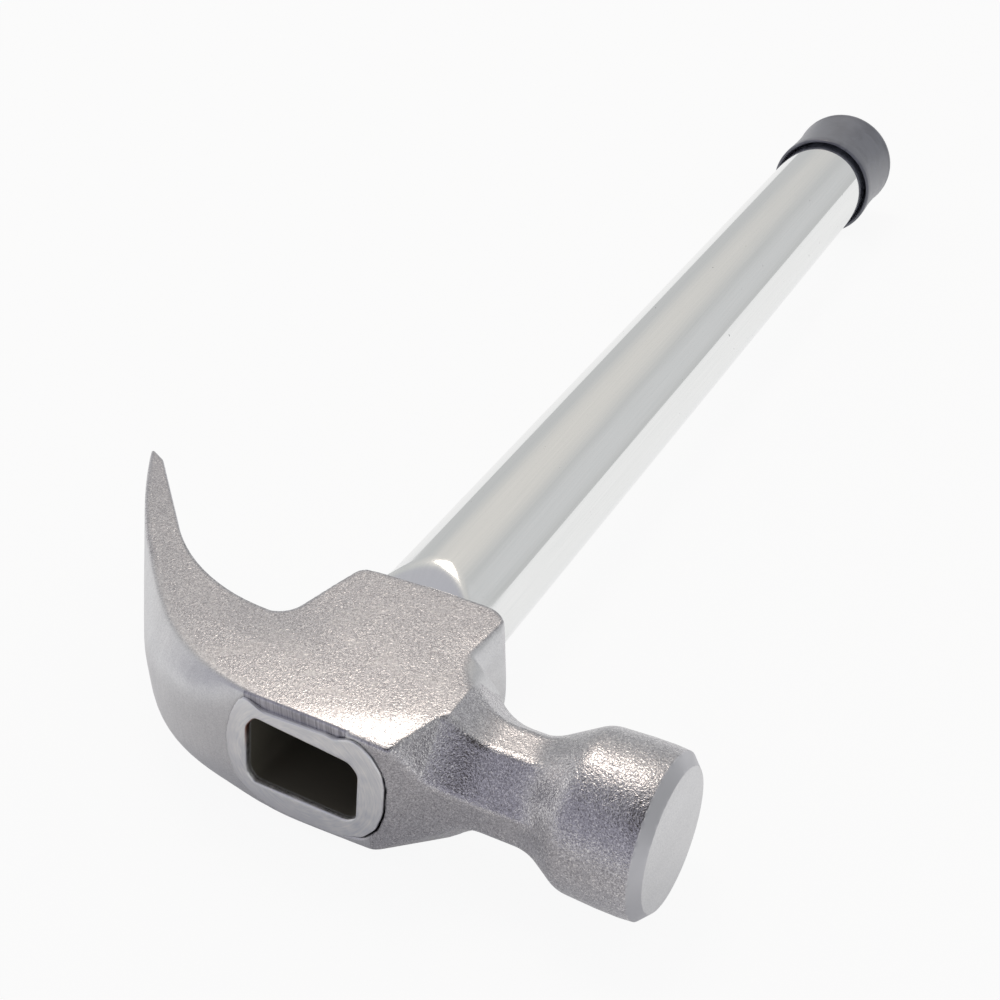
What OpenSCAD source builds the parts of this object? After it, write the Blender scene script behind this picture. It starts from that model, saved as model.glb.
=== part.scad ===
// Curved claw hammer with a tubular steel handle, lying on its cheek.
// X points to the striking face, Y down the handle to its grip end and Z out
// of the upper cheek. The origin is on the lower cheek, right below the point
// where the handle's axis crosses the poll's axis.

/* [Head] */
// Thickness of the head between its flat cheeks
cheek_t = 27.7; // [26:0.1:32]
// Height of the crown above the poll's axis, where the neck starts
crown_h = 14.9; // [14:0.1:18]
// Slope of the crown, rising towards the claw, degrees
crown_slope = 1.5; // [0:0.5:3]
// Distance from the handle's axis to the neck's end of the crown
crown_end = 17.3; // [17:0.1:19]
// Distance from the handle's axis to the neck's end of the cheeks
cheek_end = 23; // [22:0.1:25]
// How far the edge between crown and cheek is broken
edge_break = 0.6; // [0.3:0.1:2]

/* [Eye skirt] */
// Depth of the skirt from the poll's axis towards the grip
skirt_depth = 24; // [20:0.5:34]
// Reach of the skirt towards the poll
skirt_poll = 20.9; // [20:0.1:22]
// Reach of the skirt towards the claw, at its end
skirt_claw = 11; // [10:0.1:13]
// Slope of the skirt's claw side, degrees
skirt_draft = 13; // [5:0.5:18]
// Corner radius of the skirt on the poll side
skirt_poll_r = 6; // [2:0.5:7]
// Corner radius of the skirt on the claw side
skirt_claw_r = 3; // [1:0.5:4]
// Fillet between the skirt and the claw
skirt_foot_r = 4; // [2:0.5:4]

/* [Claw] */
// Reach of the claw tips from the handle's axis
claw_reach = 71.8; // [66:0.2:80]
// Drop of the claw tips from the poll's axis towards the grip
claw_drop = 36.4; // [32:0.2:42]
// Distance from the handle's axis to the start of the back's bend
back_bend = 18; // [16:0.5:20]
// Radius of the back's bend
back_r = 30; // [26:1:34]
// Angle of the back's bend, degrees
back_angle = 51; // [44:1:54]
// Distance from the handle's axis to the bend in the edge between back and cheek
edge_bend = 2; // [0:0.5:6]
// Radius of the bend in the edge between back and cheek
edge_r = 56; // [50:1:60]
// Angle of the bend in the edge between back and cheek, degrees
edge_angle = 38; // [34:1:42]
// Height of the claw's inner side, from the poll's axis towards the grip
inner_h = 5; // [3:0.1:6]
// Distance from the handle's axis to the start of the inner bend
inner_bend = 19.2; // [19:0.1:24]
// Radius of the inner bend
inner_r = 42; // [38:1:46]
// Angle of the inner bend, degrees
inner_angle = 41; // [38:0.5:46]
// Length of the ground bevel at the claw tips
tip_bevel = 5.3; // [3:0.1:7]
// Slope of the ground bevel at the claw tips, degrees
tip_slope = 25; // [15:1:35]

/* [Nail slot] */
// Length of the slot from the claw tips to its root
slot_len = 42; // [30:1:46]
// Width of the slot at its root
slot_root_w = 2.4; // [2:0.1:4]
// Width of the slot at the claw tips
slot_tip_w = 10.5; // [8:0.1:12]

/* [Neck] */
// Distance from the handle's axis to the narrowest place of the neck
waist_x = 32; // [30:0.5:34]
// Thickness of the neck across its flats, from cheek to cheek
waist_t = 19.6; // [17:0.1:22]
// Height of the neck across its flats, from crown to grip side
waist_h = 19.6; // [17:0.1:22]
// Size of the neck across its corner facets
waist_corner = 19.2; // [17:0.1:21]
// How far the neck lies off the poll's axis towards the crown
waist_shift = 0.9; // [0:0.1:2]
// Where the neck meets the skirt, from the poll's axis towards the grip
neck_skirt = 15; // [13:0.1:17]
// Distance from the handle's axis to the upper corner facet's start on the crown
facet_start = 17.3; // [16:0.1:18]
// Distance from the handle's axis to the upper corner facet's end
facet_end = 22; // [21:0.1:23]
// Height of the upper corner facet's end, above the poll's axis
facet_h = 4.7; // [3:0.1:8]
// Distance from the handle's axis to the lower corner facet's start on the crown
low_facet_start = 12.7; // [11:0.1:17]
// Distance from the handle's axis to the lower corner facet's end
low_facet_end = 24.8; // [22:0.1:26]
// Height of the lower corner facet's end, above the poll's axis
low_facet_h = 3.7; // [2:0.1:8]

/* [Poll] */
// Diameter of the poll
poll_d = 29.3; // [27:0.1:32]
// Distance from the handle's axis to the start of the poll's barrel
poll_start = 48.6; // [46:0.1:54]
// Distance from the handle's axis to the end of the poll's barrel
poll_end = 60.1; // [56:0.1:66]
// Distance from the handle's axis to the middle of the striking face
face_x = 63; // [61:0.1:70]
// Diameter of the striking face inside its bevel
face_d = 25; // [22:0.1:27]
// Radius of the striking face's crown
face_crown_r = 80; // [60:5:200]
// Slope of the flare between neck and poll, degrees
flare_angle = 30.5; // [25:0.5:40]
// Radius of the round shoulder between flare and barrel
shoulder_r = 7; // [3:0.5:10]

/* [Handle] */
// Outer diameter of the tube
tube_d = 25.4; // [22:0.1:27]
// Wall of the tube
tube_wall = 1.8; // [1.2:0.1:3]
// Length of the tube below the poll's axis
tube_len = 270.5; // [200:0.5:360]
// Length of the squeezed stretch between the round tube and the eye
squeeze_len = 12; // [8:1:20]
// Width of the tube where it enters the skirt, from claw to poll
eye_w = 25.8; // [24:0.1:30]
// Thickness of the tube where it enters the skirt, from cheek to cheek
eye_t = 19.4; // [17:0.1:22]
// Corner radius of the tube where it enters the skirt
eye_r = 7; // [4:0.1:8]
// Width of the flared rim at the crown
rim_w = 32.6; // [30:0.1:34]
// Thickness of the flared rim at the crown
rim_t = 21.6; // [20:0.1:23]
// Corner radius of the flared rim
rim_r = 7.5; // [4:0.1:9]
// Width of the hole through the rim
hole_w = 23; // [20:0.1:24]
// Thickness of the hole through the rim
hole_t = 15; // [12:0.1:16]
// Corner radius of the hole through the rim
hole_r = 3.5; // [2:0.1:6]

/* [End cap] */
// Length of the cap
cap_len = 26.5; // [20:0.5:60]
// Thickness of the cap's closed end
cap_floor = 3.5; // [2:0.1:6]
// Wall of the cap at its waist
cap_wall = 1.2; // [1:0.1:3]
// How much the cap swells from its waist to its mouth and its end
cap_swell = 0.35; // [0:0.05:1]
// Corner radius at the cap's end
cap_end_r = 3; // [1:0.1:4]
// Rounding of the cap's lip
lip_r = 0.6; // [0.4:0.1:0.8]
// Depth of the bevel inside the cap's mouth
mouth_bevel = 2; // [1:0.1:4]

/* [Hidden] */
$fn = 96;
// Steps of a curved stretch and of the face's crown, and of a circle in a hull
STEPS = 16;
CROWN_STEPS = 6;
CORNER_FN = 32;
// Degrees between the points of the cap's lip and of its rounded end
LIP_TURN = 15;
END_TURN = 10;
// Thickness of the slices that a hull joins
SLICE = 0.01;
// How far a cutting shape reaches past what it cuts
PAST = 40;
// Height of the poll's and the handle's axes above the lower cheek
axis_z = cheek_t / 2;
// Height of the crown over the handle's axis
crown_mid = crown_h + crown_end * tan(crown_slope);
// The neck's flats and facets, on the crown side and on the grip side
neck_crown = waist_h / 2 + waist_shift;
neck_grip = waist_h / 2 - waist_shift;
facet_crown = waist_corner / 2 + waist_shift / sqrt(2);
facet_grip = waist_corner / 2 - waist_shift / sqrt(2);
// How far the neck's corner facets end off the skirt's wall
SKIRT_GAP = 0.4;
// The flare starts a little inside the neck, which runs on into the flare
FLARE_SUNK = 0.4;
flare_start_r = facet_grip - FLARE_SUNK;
shoulder_start = [poll_start, poll_d / 2] - shoulder_r * [sin(flare_angle), 1 - cos(flare_angle)];
flare_start = shoulder_start.x - (shoulder_start.y - flare_start_r) / tan(flare_angle);
neck_stop = (flare_start + 2 * shoulder_start.x) / 3;
claw_tip = [-claw_reach, claw_drop];
claw_angle = 180 - inner_angle;
tube_r = tube_d / 2;
cap_end = tube_len + cap_floor;
cap_mouth = cap_end - cap_len;

// Points of a circular bend that starts at p along angle a, without p itself
function bend(p, a, r, turn) =
    let (c = p + r * [-sin(a), cos(a)])
    [for (i = [1:STEPS]) c + r * [sin(a + turn * i / STEPS), -cos(a + turn * i / STEPS)]];

// Points of the circular bend from p, starting along angle a, that ends at q
function bend_to(p, a, q) =
    let (d = q - p, turn = 2 * (atan2(d.y, d.x) - a))
    bend(p, a, norm(d) / (2 * sin(turn / 2)), turn);

function last(points) = points[len(points) - 1];

// The back of the head: from the start of the neck along the crown, round the
// bend and down to the claw tips
function back_curve(start, bend_x, slope, r, angle) =
    let (
        bend_start = [-bend_x, start.y - (start.x + bend_x) * tan(slope)],
        turned = bend(bend_start, 180 + slope, -r, -angle - slope)
    )
    concat([start, bend_start], turned, bend_to(last(turned), 180 - angle, claw_tip));

// The middle of the back, and the back's edge on a cheek
middle_back = back_curve([crown_end, -crown_h], back_bend, crown_slope, back_r, back_angle);
function cheek_back(start_x) = back_curve([start_x, -crown_h], edge_bend, 0, edge_r, edge_angle);

// The side facing the grip, from the claw tips to the neck
function grip_curve() =
    let (
        corner = claw_tip + tip_bevel * [cos(-tip_slope), sin(-tip_slope)],
        inner_start = [-inner_bend, inner_h + inner_r]
            - inner_r * [sin(inner_angle), cos(inner_angle)],
        rise = 90 - skirt_draft,
        foot_y = inner_h + skirt_foot_r * (1 - cos(rise)),
        foot_x = -skirt_claw - (skirt_depth - foot_y) * tan(skirt_draft),
        foot_start = [foot_x - skirt_foot_r * sin(rise), inner_h],
        claw_side = [-skirt_claw, skirt_depth]
            - skirt_claw_r * tan(rise / 2) * [cos(rise), sin(rise)],
        poll_side = [skirt_poll - skirt_poll_r, skirt_depth]
    )
    concat(
        [corner, inner_start],
        bend(inner_start, -inner_angle, inner_r, inner_angle),
        [foot_start],
        bend(foot_start, 0, skirt_foot_r, rise),
        [claw_side],
        bend(claw_side, rise, -skirt_claw_r, -rise),
        [poll_side],
        bend(poll_side, 0, -skirt_poll_r, -90)
    );

// One side of the neck, from its narrowest place out to the point that it meets
function neck_curve(half, meet) = concat([[waist_x, half]], bend_to([waist_x, half], 180, meet));

// The same curve on the side where its height counts the other way
function neck_curve_below(half, meet) = [for (p = neck_curve(half, meet)) [p.x, -p.y]];

function reversed(points) = [for (i = [len(points) - 1:-1:0]) points[i]];

// The head seen square to its cheek
module side_outline() {
    polygon(concat(
        middle_back,
        grip_curve(),
        reversed(neck_curve(neck_grip, [skirt_poll, neck_skirt])),
        [[neck_stop, neck_grip], [neck_stop, -neck_crown]],
        [for (p = neck_curve_below(neck_crown, [crown_end, crown_h])) if (p.x > crown_end) p]
    ));
}

// The head seen along the handle
module plan_outline() {
    cheek_meet = [cheek_end, cheek_t / 2];
    polygon(concat(
        [[-claw_reach - PAST, cheek_t / 2]],
        reversed(neck_curve(waist_t / 2, cheek_meet)),
        [[neck_stop, waist_t / 2], [neck_stop, -waist_t / 2]],
        neck_curve_below(waist_t / 2, cheek_meet),
        [[-claw_reach - PAST, -cheek_t / 2]]
    ));
}

// The head seen along a line at 45 degrees between crown and cheek: the back's
// edge on the cheek and the corner facets of the neck
module corner_outline(start_x, end_x, end_h) {
    function seen(y) = (cheek_t / 2 - y - edge_break) / sqrt(2);
    skirt_meet = [skirt_poll + SKIRT_GAP, (cheek_t / 2 + neck_skirt) / sqrt(2)];
    polygon(concat(
        [for (p = reversed(cheek_back(start_x))) [p.x, seen(p.y)]],
        reversed(neck_curve(facet_crown, [end_x, seen(-end_h)])),
        [[neck_stop, facet_crown], [neck_stop, -facet_grip]],
        neck_curve_below(facet_grip, skirt_meet),
        [[skirt_meet.x, -2 * PAST], [-claw_reach - PAST, -2 * PAST]],
        [[-claw_reach - PAST, seen(claw_drop)]]
    ));
}

// A flat outline made thick both ways along its own normal
module slab(half_t) {
    translate([0, 0, -half_t])
        linear_extrude(2 * half_t)
            children();
}

// The forged head without its poll: what all four outlines share
module forging() {
    intersection() {
        slab(cheek_t / 2) side_outline();
        rotate([90, 0, 0]) slab(2 * PAST) plan_outline();
        rotate([135, 0, 0]) slab(2 * PAST)
            corner_outline(facet_start, facet_end, facet_h);
        rotate([225, 0, 0]) slab(2 * PAST)
            corner_outline(low_facet_start, low_facet_end, low_facet_h);
    }
}

// The round poll with its flared root, its bevel and its crowned face
module poll() {
    crown_angle = asin(face_d / 2 / face_crown_r);
    profile = concat(
        [[flare_start, 0], [flare_start, flare_start_r], shoulder_start],
        bend(shoulder_start, flare_angle, -shoulder_r, -flare_angle),
        [[poll_end, poll_d / 2]],
        [for (i = [CROWN_STEPS:-1:0])
            let (a = crown_angle * i / CROWN_STEPS)
            [face_x, 0] - face_crown_r * [1 - cos(a), -sin(a)]]
    );
    rotate([0, 90, 0]) rotate_extrude() polygon([for (p = profile) [p.y, p.x]]);
}

// A rounded rectangle, drawn without facets
module round_rect(w, t, r) {
    square([w, t - 2 * r], center = true);
    square([w - 2 * r, t], center = true);
    for (x = [-1, 1], y = [-1, 1])
        translate([x * (w / 2 - r), y * (t / 2 - r)]) circle(r);
}

// A slice square to the handle at the distance y down the handle
module slice(y) {
    translate([0, y + SLICE, 0])
        rotate([90, 0, 0])
            linear_extrude(SLICE)
                children();
}

// The tapered plug that fills the head's eye, run on past the crown
module eye_plug() {
    grow = PAST / 4 / (skirt_depth + crown_mid);
    past_w = rim_w + grow * (rim_w - eye_w);
    past_t = rim_t + grow * (rim_t - eye_t);
    hull() {
        slice(skirt_depth - SLICE) round_rect(eye_w, eye_t, eye_r, $fn = CORNER_FN);
        slice(-crown_mid - PAST / 4) round_rect(past_w, past_t, rim_r, $fn = CORNER_FN);
    }
}

// Everything below the plane of the crown
module below_crown() {
    slab(PAST) polygon([
        [-PAST, -crown_mid - PAST * tan(crown_slope)],
        [PAST, -crown_mid + PAST * tan(crown_slope)],
        [PAST, 2 * PAST],
        [-PAST, 2 * PAST]
    ]);
}

// The V between the two claws, with a round root
module nail_slot() {
    root = claw_tip - slot_len * [cos(claw_angle), sin(claw_angle)];
    root_r = slot_root_w / 2;
    grow = 1 + PAST / slot_len;
    far_r = root_r + grow * (slot_tip_w / 2 - root_r);
    translate([root.x, root.y, 0]) rotate([0, 0, claw_angle]) rotate([90, 0, 0]) slab(PAST / 2) {
        circle(root_r);
        polygon([
            [0, -root_r],
            [slot_len * grow, -far_r],
            [slot_len * grow, far_r],
            [0, root_r]
        ]);
    }
}

module head() {
    color([0.66, 0.65, 0.64])
        translate([0, 0, axis_z])
            difference() {
                union() {
                    forging();
                    poll();
                }
                eye_plug();
                nail_slot();
            }
}

// The tube outside, squeezed to the eye's shape and flared at the crown
module tube_outside() {
    round_start = skirt_depth + squeeze_len;
    intersection() {
        eye_plug();
        below_crown();
    }
    hull() {
        slice(skirt_depth) round_rect(eye_w, eye_t, eye_r, $fn = CORNER_FN);
        slice(round_start - SLICE) circle(tube_r, $fn = CORNER_FN);
    }
    translate([0, round_start, 0])
        rotate([-90, 0, 0])
            cylinder(h = tube_len - round_start, r = tube_r);
}

// The hollow of the tube, from the hole at the crown to the open grip end
module tube_hollow() {
    bore_r = tube_r - tube_wall;
    round_start = skirt_depth + squeeze_len;
    translate([0, skirt_depth, 0])
        rotate([90, 0, 0])
            linear_extrude(skirt_depth + crown_mid + PAST)
                round_rect(hole_w, hole_t, hole_r);
    hull() {
        slice(skirt_depth - SLICE) round_rect(hole_w, hole_t, hole_r, $fn = CORNER_FN);
        slice(round_start) circle(bore_r, $fn = CORNER_FN);
    }
    translate([0, round_start, 0])
        rotate([-90, 0, 0])
            cylinder(h = tube_len, r = bore_r);
}

module handle_tube() {
    color([0.82, 0.84, 0.85])
        translate([0, 0, axis_z])
            difference() {
                tube_outside();
                tube_hollow();
            }
}

module end_cap() {
    waist_r = tube_r + cap_wall;
    function swell(s) = waist_r + cap_swell * pow(2 * s - 1, 2);
    lip_c = [swell(0) - lip_r, cap_mouth + lip_r];
    end_c = [swell(1) - cap_end_r, cap_end - cap_end_r];
    profile = concat(
        [[0, tube_len], [tube_r, tube_len], [tube_r, cap_mouth + mouth_bevel]],
        [[lip_c.x, cap_mouth]],
        [for (a = [-90:LIP_TURN:0]) lip_c + lip_r * [cos(a), sin(a)]],
        [for (s = [0.1:0.1:0.8]) [swell(s), cap_mouth + s * cap_len]],
        [for (a = [0:END_TURN:90]) end_c + cap_end_r * [cos(a), sin(a)]],
        [[0, cap_end]]
    );
    color([0.2, 0.21, 0.23])
        translate([0, 0, axis_z])
            rotate([-90, 0, 0])
                rotate_extrude()
                    polygon(profile);
}

head();
handle_tube();
end_cap();
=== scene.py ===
import math

import bmesh
import bpy
import numpy as np
from mathutils import Matrix, Vector


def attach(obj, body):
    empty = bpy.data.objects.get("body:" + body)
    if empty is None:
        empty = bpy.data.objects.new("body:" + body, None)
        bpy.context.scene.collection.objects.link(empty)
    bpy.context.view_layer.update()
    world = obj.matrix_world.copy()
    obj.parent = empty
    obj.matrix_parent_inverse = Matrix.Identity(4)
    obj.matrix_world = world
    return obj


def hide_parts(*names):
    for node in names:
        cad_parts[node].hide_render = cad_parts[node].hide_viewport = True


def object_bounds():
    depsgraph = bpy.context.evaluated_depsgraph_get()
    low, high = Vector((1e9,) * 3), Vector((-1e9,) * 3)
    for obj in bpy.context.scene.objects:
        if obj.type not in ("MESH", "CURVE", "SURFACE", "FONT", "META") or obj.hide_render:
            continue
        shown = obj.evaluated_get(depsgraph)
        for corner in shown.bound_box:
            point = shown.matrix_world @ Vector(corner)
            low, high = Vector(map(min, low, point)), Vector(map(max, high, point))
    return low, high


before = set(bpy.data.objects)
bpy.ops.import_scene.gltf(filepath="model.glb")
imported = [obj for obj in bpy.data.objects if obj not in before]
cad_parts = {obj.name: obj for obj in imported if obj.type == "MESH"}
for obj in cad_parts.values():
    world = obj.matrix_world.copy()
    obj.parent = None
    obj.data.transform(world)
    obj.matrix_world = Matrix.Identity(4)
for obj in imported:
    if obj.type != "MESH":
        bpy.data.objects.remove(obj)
cad_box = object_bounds()
scene = bpy.context.scene

# Camera. It stands close in front of the head, a little to the poll's side of
# it, and looks down at the hammer at about 35 degrees.
camera_data = bpy.data.cameras.new("camera")
camera_data.lens = 55.8
camera_data.sensor_width = 36
camera_data.clip_start = 0.01
camera = bpy.data.objects.new("camera", camera_data)
scene.collection.objects.link(camera)
scene.camera = camera
camera_place = Vector((0.12285, -0.16198, 0.20361))
camera_back = Vector((0.4005, -0.7096, 0.5798)).normalized()
camera_up = Vector((-0.2615, 0.5179, 0.8145))
camera_right = camera_up.cross(camera_back).normalized()
camera_turn = Matrix((camera_right, camera_back.cross(camera_right), camera_back)).transposed()
camera.matrix_world = Matrix.Translation(camera_place) @ camera_turn.to_4x4()

# Studio. A white floor under a soft grey tent: the tent is what the chrome
# mirrors above its horizon, and the floor what it mirrors below.
scene.view_settings.view_transform = "Standard"
FLOOR_HALF = 3.0
FLOOR_GAP = 0.0002
FLOOR_PAINT = (0.86, 0.86, 0.865, 1)
FLOOR_SHOWN = 0.92
# In the metal the floor is dark at a place in front of the head, and brightens
# between two distances from there, from one share of white to another.
SHADED_FRONT = (0.0, -0.07, 0)
SHADE_EDGE = (0.05, 0.12)
SHARE_MIRRORED = (0.08, 0.8)


def new_node(tree, kind, **settings):
    """A new node in a tree, with its own settings filled in."""
    node = tree.nodes.new(kind)
    for name, value in settings.items():
        setattr(node, name, value)
    return node


def feed(tree, node, values):
    """Gives a node's inputs, by name or number, a socket or a plain value each."""
    for name, value in values.items():
        if isinstance(value, bpy.types.NodeSocket):
            tree.links.new(value, node.inputs[name])
        else:
            node.inputs[name].default_value = value


def joined(tree, operation, *values):
    """A sum or other result of values."""
    result = new_node(tree, "ShaderNodeMath", operation=operation)
    feed(tree, result, dict(enumerate(values)))
    return result.outputs[0]


def spread(tree, value, start, end, low=0.0, high=1.0, kind="LINEAR"):
    """Maps a value between two bounds to run between two levels."""
    ramp = new_node(tree, "ShaderNodeMapRange", interpolation_type=kind)
    feed(tree, ramp, {"Value": value, "From Min": start, "From Max": end, "To Min": low, "To Max": high})
    return ramp.outputs["Result"]


def blend_of(tree, kind, share, a, b):
    """Mixes two values or two colours by a share."""
    mix = new_node(tree, "ShaderNodeMix", data_type=kind)
    feed(tree, mix, {"Factor": share, "A": a, "B": b})
    return mix.outputs["Result"]


def new_material(name):
    """A material, with its node tree and the plain shader that is in it."""
    material = bpy.data.materials.new(name)
    material.use_nodes = True
    return material, material.node_tree, material.node_tree.nodes["Principled BSDF"]


def seen_as_white(tree, shader, by_camera, by_metal):
    """Mixes a plain white glow into what the camera and the bright metal see of
    a floor or a sky, each by its own share."""
    rays = new_node(tree, "ShaderNodeLightPath").outputs
    glow = new_node(tree, "ShaderNodeEmission")
    feed(tree, glow, {"Color": (1, 1, 1, 1)})
    share = joined(tree, "MULTIPLY", rays["Is Camera Ray"], by_camera)
    for ray in ("Is Glossy Ray", "Is Transmission Ray"):
        share = joined(tree, "MAXIMUM", share, joined(tree, "MULTIPLY", rays[ray], by_metal))
    mix = new_node(tree, "ShaderNodeMixShader")
    feed(tree, mix, {0: share, 1: shader, 2: glow.outputs[0]})
    return mix.outputs[0]


def make_floor():
    """The floor: matt, nearly plain white to the camera, and shaded in front of
    the head to the metal alone."""
    lowest = min(corner[2] for corner in cad_box) - FLOOR_GAP
    square = ((-1, -1), (1, -1), (1, 1), (-1, 1))
    corners = [(x * FLOOR_HALF, y * FLOOR_HALF, lowest) for x, y in square]
    mesh = bpy.data.meshes.new("floor")
    mesh.from_pydata(corners, [], [(0, 1, 2, 3)])
    floor = bpy.data.objects.new("floor", mesh)
    scene.collection.objects.link(floor)
    material, tree, matt = new_material("white floor")
    feed(tree, matt, {"Base Color": FLOOR_PAINT, "Roughness": 0.9, "Specular IOR Level": 0.1})
    place = new_node(tree, "ShaderNodeNewGeometry")
    reach = new_node(tree, "ShaderNodeVectorMath", operation="DISTANCE")
    feed(tree, reach, {0: place.outputs["Position"], 1: SHADED_FRONT})
    mirrored = spread(tree, reach.outputs["Value"], *SHADE_EDGE, *SHARE_MIRRORED)
    seen = seen_as_white(tree, matt.outputs[0], FLOOR_SHOWN, mirrored)
    feed(tree, tree.nodes["Material Output"], {"Surface": seen})
    mesh.materials.append(material)


# The tent's patches: the direction of each, how wide it is as the cosines of
# its rim and of its core, and its colour.
GREY_FRONT = ((-0.05, -0.85, 0.50), (0.30, 0.85), (0.44, 0.435, 0.50))
DARK_FRONT = ((0.20, -0.43, 0.88), (0.86, 0.97), (0.03, 0.025, 0.02))
GLOW_LEFT = ((-1.0, -0.02, 0.12), (0.80, 0.98), (0.95, 0.94, 0.93))
GLOW_ABOVE = ((-0.25, 0.60, 0.76), (0.80, 1.0), (0.72, 0.70, 0.67))
GLOW_SIDE = ((0.54, 0.76, 0.36), (0.93, 1.0), (0.64, 0.645, 0.65))
TENT_GREY = (0.57, 0.575, 0.575)


def make_tent():
    """The sky: grey, brighter beside the claw and behind the handle, dark high
    above the head's front, and white to the camera. The metal mirrors it as it
    is, because bright metal in a white room would show no shape."""
    world = bpy.data.worlds.new("tent")
    world.use_nodes = True
    scene.world = world
    tree = world.node_tree
    tent = tree.nodes["Background"]
    heading = new_node(tree, "ShaderNodeTexCoord").outputs["Generated"]
    colour = (*TENT_GREY, 1)
    for towards, (rim, core), patch in (GLOW_ABOVE, GLOW_SIDE, GLOW_LEFT, GREY_FRONT, DARK_FRONT):
        facing = new_node(tree, "ShaderNodeVectorMath", operation="DOT_PRODUCT")
        feed(tree, facing, {0: heading, 1: Vector(towards).normalized()})
        share = spread(tree, facing.outputs["Value"], rim, core, kind="SMOOTHSTEP")
        colour = blend_of(tree, "RGBA", share, colour, (*patch, 1))
    feed(tree, tent, {"Color": colour})
    seen = seen_as_white(tree, tent.outputs[0], by_camera=1.0, by_metal=0.0)
    feed(tree, tree.nodes["World Output"], {"Surface": seen})


def soft_lamp(name, towards, distance, size, power, colour):
    """A square soft lamp that shines on the head from a direction."""
    lamp = bpy.data.lights.new(name, "AREA")
    lamp.shape = "SQUARE"
    lamp.size = size
    lamp.energy = power
    lamp.color = colour
    holder = bpy.data.objects.new(name, lamp)
    place = Vector(towards).normalized() * distance
    holder.location = place
    holder.rotation_euler = place.to_track_quat("Z", "Y").to_euler()
    scene.collection.objects.link(holder)


make_floor()
make_tent()
soft_lamp("key lamp", towards=(-0.273, 0.363, 0.891), distance=0.9, size=0.28, power=1.2,
          colour=(1.0, 0.89, 0.77))

# Head. One forging with a round poll, a waisted neck with soft facets, flat
# cheeks, an eye skirt and a split claw whose back is crowned across its width.
# Its shape is what a few outlines share, with the edges between them rounded.
MM = 0.001
CHEEK = 13.85
CROWN = (17.3, -14.9)
CLAW_TIP = (-72.2, 37.4)
SKIRT_POLL = 20.9
SKIRT_END = 23.9
# How far the neck's sides stand from its axis at the waist: towards the grip,
# the crown and the cheeks, and its facets towards the corners between them.
WAIST_X = 32
WAIST_GRIP = 8.9
WAIST_CROWN = 10.7
WAIST_CHEEK = 9.8
CROWN_FACET = 9.7
GRIP_FACET = 8.9
# Where the neck's flats leave the cheeks, where its outlines stop inside the
# poll, and how far other outlines run on past the head.
NECK_START = 23
NECK_STOP = 44
PAST = 60
ROOT_2 = math.sqrt(2)
NO_TURN = 1e-6


def bend(start, heading, radius, turn, steps=12):
    """Points of a round bend that leaves start at a heading, without start."""
    a, t = math.radians(heading), math.radians(turn)
    cx = start[0] - radius * math.sin(a)
    cy = start[1] + radius * math.cos(a)
    turned = [a + t * i / steps for i in range(1, steps + 1)]
    return [(cx + radius * math.sin(b), cy - radius * math.cos(b)) for b in turned]


def bend_to(start, heading, end):
    """Points of the round bend that leaves start at a heading and ends at end."""
    dx, dy = end[0] - start[0], end[1] - start[1]
    turn = 2 * (math.degrees(math.atan2(dy, dx)) - heading)
    turn = (turn + 180) % 360 - 180
    if abs(turn) < NO_TURN:
        return [end]
    radius = math.hypot(dx, dy) / (2 * math.sin(math.radians(turn / 2)))
    return bend(start, heading, radius, turn)


def back_curve(bend_x, fall, radius, angle, tip):
    """The back in one plane: along the crown, round the bend and to a claw tip."""
    rise = (CROWN[0] + bend_x) * math.tan(math.radians(fall))
    bend_start = (-bend_x, CROWN[1] - rise)
    turned = bend(bend_start, 180 + fall, -radius, -angle - fall)
    return [CROWN, bend_start] + turned + bend_to(turned[-1], 180 - angle, tip)


def grip_side():
    """The side that faces the grip, from the claw tips round the skirt."""
    inner_h, inner_r, inner_angle, inner_x = 5.55, 44.2, 42, 19.2
    turn = math.radians(inner_angle)
    inner = (-inner_x - inner_r * math.sin(turn), inner_h + inner_r * (1 - math.cos(turn)))
    foot, skirt_low, skirt_high = (-20.1, inner_h), (-11.8, 21.2), (14.6, 23.8)
    points = [(-67.4, 35.0), inner] + bend(inner, -inner_angle, inner_r, inner_angle)
    points += [foot] + bend(foot, heading=0, radius=5.0, turn=77)
    points += [skirt_low] + bend(skirt_low, heading=77, radius=-2.6, turn=-72, steps=6)
    return points + [(4, SKIRT_END), skirt_high] + bend(skirt_high, heading=0, radius=-6.3, turn=-90)


def neck_bend(half, meet):
    """One side of the neck, from the waist out to the point that it meets."""
    return [(WAIST_X, half)] + bend_to((WAIST_X, half), 180, meet)


def below(points):
    return [(x, -y) for x, y in points]


def side_outline(back):
    """The head seen square to its cheek, with one of the two back curves."""
    neck_low = neck_bend(WAIST_GRIP, (SKIRT_POLL, 14.6))
    neck_high = below(neck_bend(WAIST_CROWN, (CROWN[0], -CROWN[1])))
    points = back + grip_side() + neck_low[::-1]
    return points + [(NECK_STOP, WAIST_GRIP), (NECK_STOP, -WAIST_CROWN)] + neck_high[:-1]


def plan_outline():
    """The head seen along the handle: the cheeks and the neck's flats."""
    flat = neck_bend(WAIST_CHEEK, (NECK_START, CHEEK))
    upper = [(-2 * PAST, CHEEK)] + flat[::-1] + [(NECK_STOP, WAIST_CHEEK)]
    return upper + below(upper)[::-1]


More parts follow.
